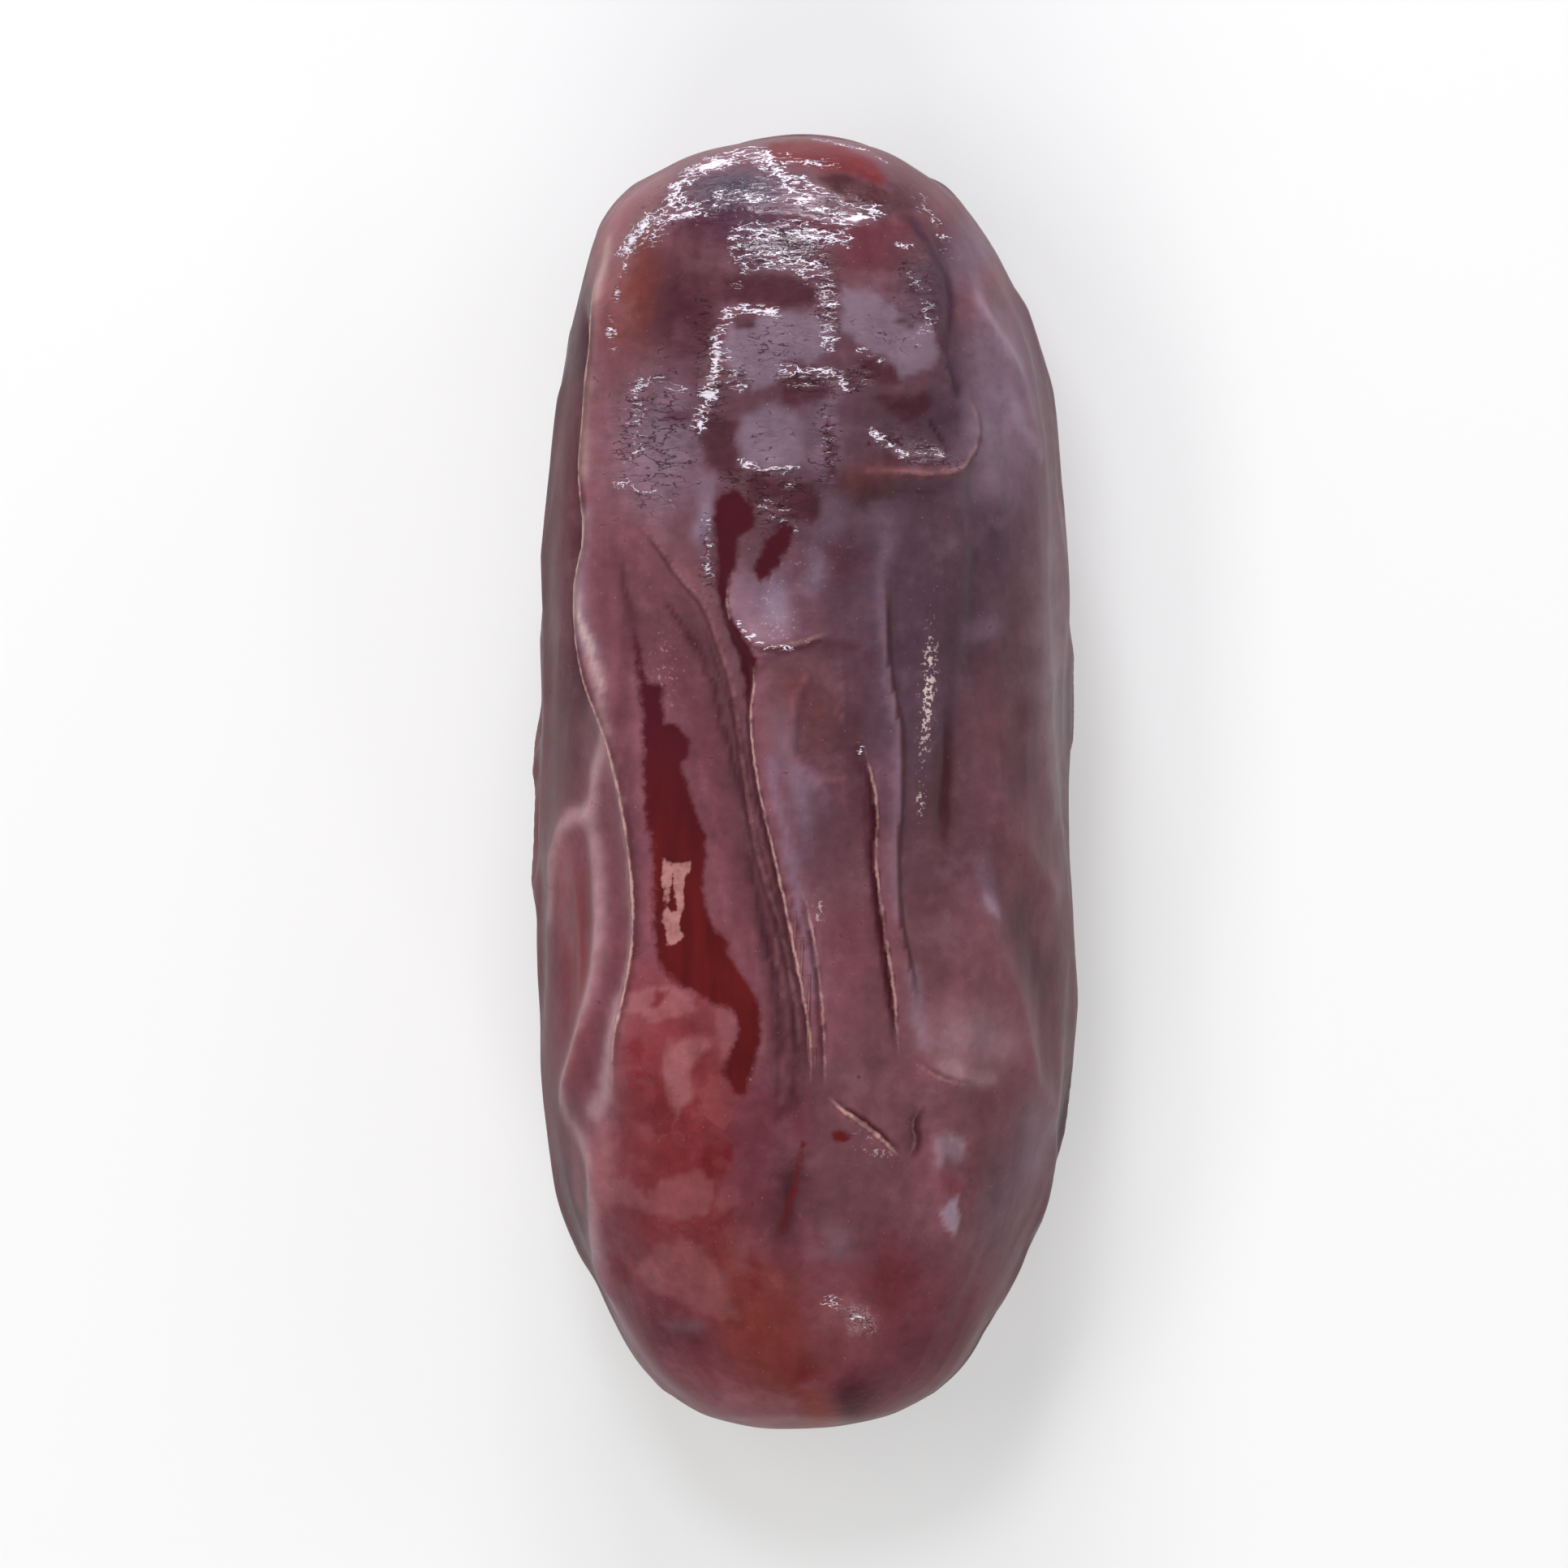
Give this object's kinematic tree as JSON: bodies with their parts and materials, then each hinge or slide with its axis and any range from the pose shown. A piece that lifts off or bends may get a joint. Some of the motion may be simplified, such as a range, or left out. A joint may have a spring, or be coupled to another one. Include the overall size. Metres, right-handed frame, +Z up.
{
  "type": "dried date fruit",
  "caption": "Whole long dried date with glossy loose skin drawn into lengthwise folds, lying on its side.",
  "frame": {"origin": "centre of the bounding box, on the surface that the date rests on", "axes": "+Z up, +Y along the date to its stem end, +X to the right as seen from above"},
  "size_m": [0.0194, 0.0461, 0.0173],
  "materials": {
    "date_skin": "glossy translucent wine-red skin with greyer, hazier folds"
  },
  "bodies": {
    "root": {"date_fruit": "date_skin"}
  },
  "joints": []
}
